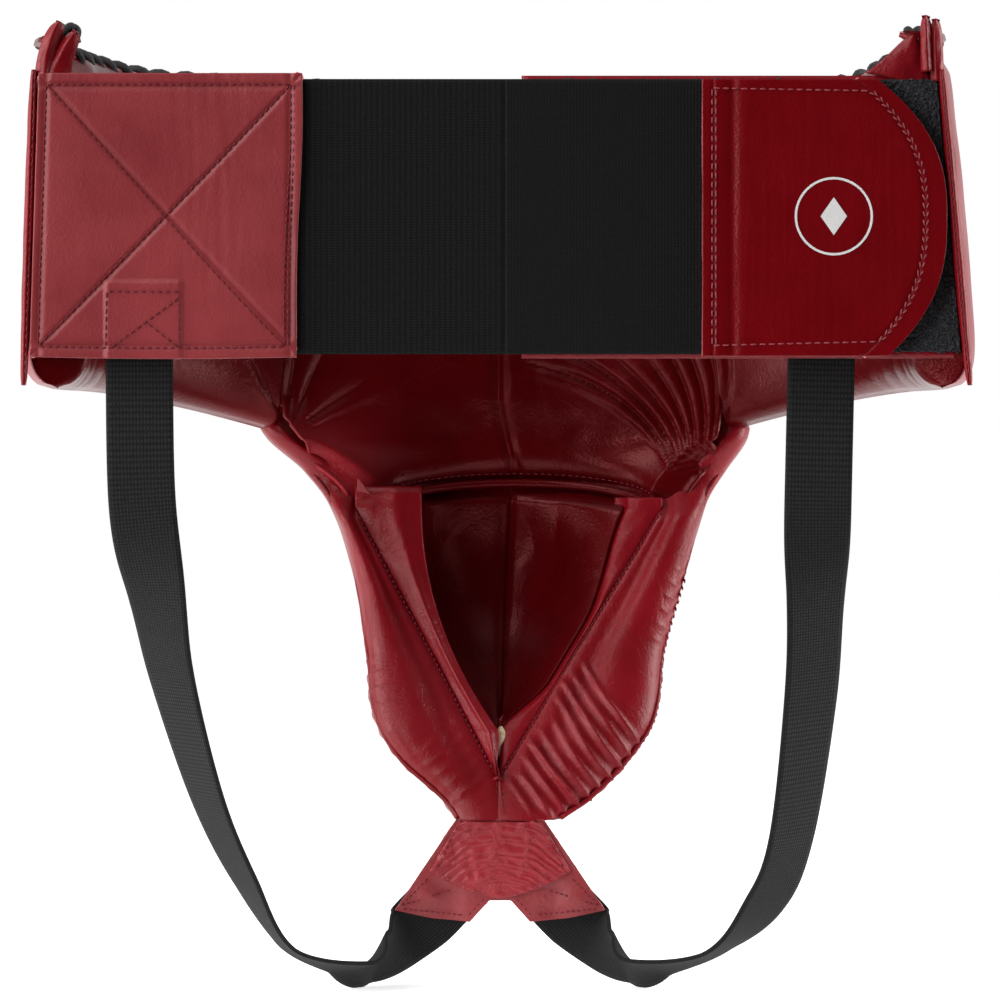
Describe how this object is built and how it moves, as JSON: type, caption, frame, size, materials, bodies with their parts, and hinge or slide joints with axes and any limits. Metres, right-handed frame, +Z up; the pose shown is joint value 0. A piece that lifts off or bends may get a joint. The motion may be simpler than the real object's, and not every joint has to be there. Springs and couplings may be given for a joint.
{
  "type": "groin protector",
  "caption": "Padded leather groin protector with a hard cup, wide elastic waist band with hook-and-loop flap, and elastic leg straps on a leather tab.",
  "frame": {"origin": "middle of the waist opening, at half the height of the waist band", "axes": "+X to the wearer's right, +Y to the wearer's front, +Z up as worn"},
  "size_m": [0.3618, 0.2038, 0.3656],
  "materials": {
    "red_leather": "satin, full-grain, dyed deep red",
    "patch_leather": "satin, full-grain, dyed red",
    "lining_leather": "glossy, dyed deep red",
    "elastic": "matte ribbed knit",
    "cord": "waxed lacing cord",
    "loop_pile": "fuzzy loop pile",
    "hook_tape": "hook tape",
    "foam": "open-cell foam",
    "cup_plastic": "moulded"
  },
  "bodies": {
    "root": {"hip_panel_left": "red_leather", "front_panel_left": "red_leather", "leg_roll_left": "red_leather", "hip_lining_left": "lining_leather", "front_lining_left": "lining_leather", "well_lining_left": "lining_leather", "rim_strip_left": "lining_leather", "edge_binding_left": "red_leather", "corner_tab_left": "red_leather", "waist_foam_left": "foam", "leg_strap_left": "elastic", "lace_knot_left": "cord", "hip_panel_right": "red_leather", "front_panel_right": "red_leather", "leg_roll_right": "red_leather", "hip_lining_right": "lining_leather", "front_lining_right": "lining_leather", "well_lining_right": "lining_leather", "rim_strip_right": "lining_leather", "edge_binding_right": "red_leather", "corner_tab_right": "red_leather", "waist_foam_right": "foam", "leg_strap_right": "elastic", "lace_knot_right": "cord", "cup_foam": "foam", "cup_liner_foam": "foam", "cup_shell": "cup_plastic", "arch_piping": "lining_leather", "top_lace": "cord", "belt_patch": "patch_leather", "belt_patch_backing": "red_leather", "elastic_fixed_end": "elastic", "loop_panel": "loop_pile", "loop_backing": "red_leather"},
    "belt": {"waist_elastic": "elastic"},
    "flap": {"flap_cover": "red_leather", "elastic_flap_end": "elastic", "hook_pad": "hook_tape", "flap_backing": "red_leather"},
    "crotch_tab_body": {"crotch_tab": "red_leather", "crotch_tab_overlay": "red_leather"}
  },
  "joints": [
    {"name": "belt_swing", "type": "hinge", "parent": "root", "child": "belt", "pos_m": [-0.07315, -0.088, 0], "axis": [0, 0, -1], "range_deg": [0, 110]},
    {"name": "flap_peel", "type": "hinge", "parent": "belt", "child": "flap", "pos_m": [0.07615, -0.0884, 0], "axis": [0, 0, -1], "range_deg": [0, 150]},
    {"name": "crotch_tab_swing", "type": "hinge", "parent": "root", "child": "crotch_tab_body", "pos_m": [0, 0.013, -0.2308], "axis": [1, 0, 0], "range_deg": [-40, 40], "deforming": ["leg_strap_left", "leg_strap_right"]}
  ]
}
